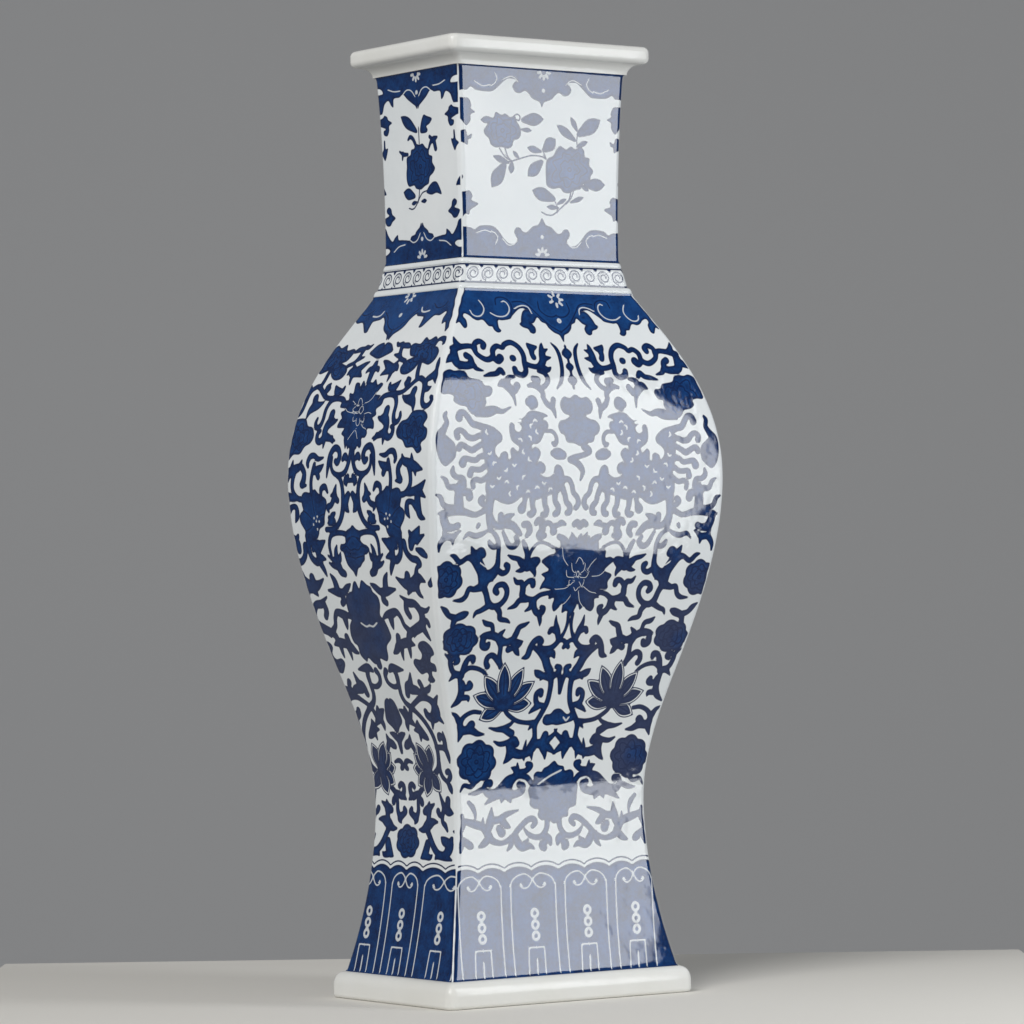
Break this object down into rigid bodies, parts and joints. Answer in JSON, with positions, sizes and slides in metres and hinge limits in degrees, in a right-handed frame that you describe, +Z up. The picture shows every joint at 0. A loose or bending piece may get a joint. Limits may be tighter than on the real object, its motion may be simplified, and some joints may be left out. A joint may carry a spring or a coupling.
{
  "type": "porcelain vase",
  "caption": "Tall rectangular porcelain vase with a baluster body, straight neck, flat rim and plinth foot, painted in underglaze blue, for flowers or display.",
  "frame": {"origin": "centre of the foot, on the table", "axes": "+X across the broad front to the viewer's right, +Y from the front to the back, +Z up the vase's axis"},
  "size_m": [0.1536, 0.1098, 0.406],
  "materials": {
    "painted_glaze": "underglaze cobalt blue on white, under a clear gloss glaze",
    "white_glaze": "clear gloss glaze on white porcelain",
    "bare_porcelain": "matt fired clay"
  },
  "bodies": {
    "root": {"foot_plinth": "white_glaze", "floor_slab": "bare_porcelain", "body_front_slab": "painted_glaze", "body_right_slab": "painted_glaze", "body_back_slab": "painted_glaze", "body_left_slab": "painted_glaze", "body_back_right_seam_coil": "bare_porcelain", "body_back_left_seam_coil": "bare_porcelain", "body_front_left_seam_coil": "bare_porcelain", "body_front_right_seam_coil": "bare_porcelain", "shoulder_band": "painted_glaze", "neck_front_slab": "painted_glaze", "neck_right_slab": "painted_glaze", "neck_back_slab": "painted_glaze", "neck_left_slab": "painted_glaze", "neck_back_right_seam_coil": "bare_porcelain", "neck_back_left_seam_coil": "bare_porcelain", "neck_front_left_seam_coil": "bare_porcelain", "neck_front_right_seam_coil": "bare_porcelain", "rim_plate": "white_glaze"}
  },
  "joints": []
}
